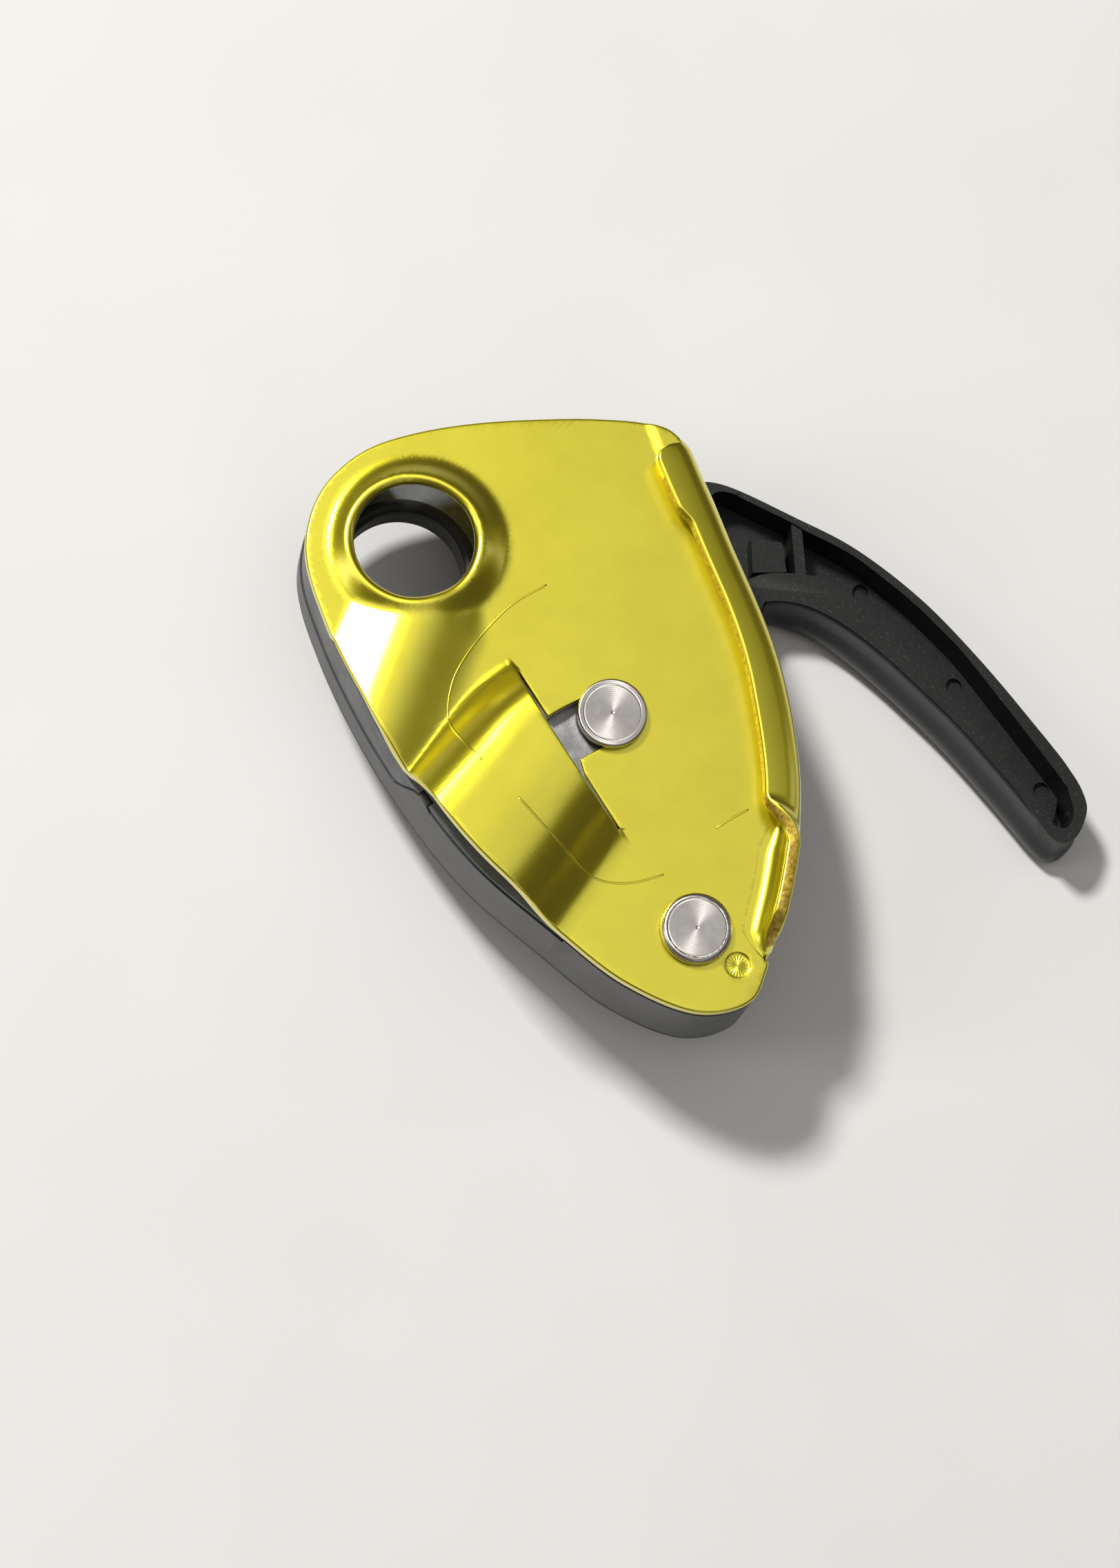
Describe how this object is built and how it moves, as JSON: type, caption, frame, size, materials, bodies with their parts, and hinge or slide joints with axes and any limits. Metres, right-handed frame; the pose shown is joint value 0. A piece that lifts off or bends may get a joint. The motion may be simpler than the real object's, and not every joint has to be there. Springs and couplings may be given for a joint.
{
  "type": "assisted braking belay device",
  "caption": "Assisted braking belay device: sprung cam between a fixed and a swinging side plate, folding release handle, attachment hole and line channel.",
  "frame": {"origin": "on the cam axle, at the flat back face of its lower head, where the device lies on its back", "axes": "+Z square to the side plates, out of the swinging plate; +Y from the pivot rivet towards the attachment hole; the release handle is on the +X side"},
  "size_m": [0.0884, 0.1057, 0.038],
  "materials": {
    "anodised": "yellow-green anodised sheet, satin",
    "plate_metal": "dark grey anodised plate",
    "guard": "fine grained grey",
    "housing": "satin dark grey moulding",
    "cover": "black moulding",
    "handle": "black glass-filled nylon, matt",
    "grip": "smooth dark grey, satin",
    "turned_steel": "turned stainless steel",
    "cast_steel": "blasted cast stainless steel",
    "spring_steel": "drawn spring wire",
    "bronze": "plain bearing bronze"
  },
  "bodies": {
    "frame": {"fixed_side_plate": "plate_metal", "line_guard": "guard", "housing": "housing", "back_cover": "cover", "friction_shoe": "turned_steel", "wear_sheet": "turned_steel", "pivot_rivet": "turned_steel", "axle_bush": "bronze", "attachment_lining": "cover", "cam_stop_pin": "turned_steel", "cover_screw_1": "turned_steel", "cover_screw_2": "turned_steel", "cover_screw_3": "turned_steel"},
    "side_plate": {"moving_side_plate": "anodised", "pivot_bush": "bronze"},
    "cam": {"cam": "cast_steel", "cam_axle": "turned_steel", "cam_driver": "cast_steel", "cam_spring": "spring_steel"},
    "handle": {"handle_lever": "handle", "handle_grip": "grip", "handle_spring": "spring_steel", "pawl_spring": "spring_steel"},
    "pawl": {"drive_pawl": "cast_steel"},
    "selector": {"selector_knob": "cover", "selector_eccentric": "cast_steel"}
  },
  "joints": [
    {"name": "side_plate_swing", "type": "hinge", "parent": "frame", "child": "side_plate", "pos_m": [-0.0087, -0.0328, 0.0308], "axis": [0, 0, -1], "range_deg": [0, 110]},
    {"name": "cam_turn", "type": "hinge", "parent": "frame", "child": "cam", "pos_m": [0, 0, 0.024], "axis": [0, 0, -1], "range_deg": [0, 30], "stiffness_Nm_per_rad": 0.12, "springref_deg": -20.05},
    {"name": "handle_turn", "type": "hinge", "parent": "frame", "child": "handle", "pos_m": [0, 0, 0.0057], "axis": [0, 0, 1], "range_deg": [0, 95], "stiffness_Nm_per_rad": 0.04, "springref_deg": -17.19},
    {"name": "pawl_slide", "type": "slide", "parent": "handle", "child": "pawl", "axis": [0, 0, -1], "range_m": [0, 0.0023], "stiffness_N_per_m": 30, "springref_m": -0.001, "deforming": ["pawl_spring"]},
    {"name": "selector_turn", "type": "hinge", "parent": "frame", "child": "selector", "pos_m": [-0.012, -0.0225, 0.0086], "axis": [0, 0, -1], "range_deg": [0, 60]}
  ]
}
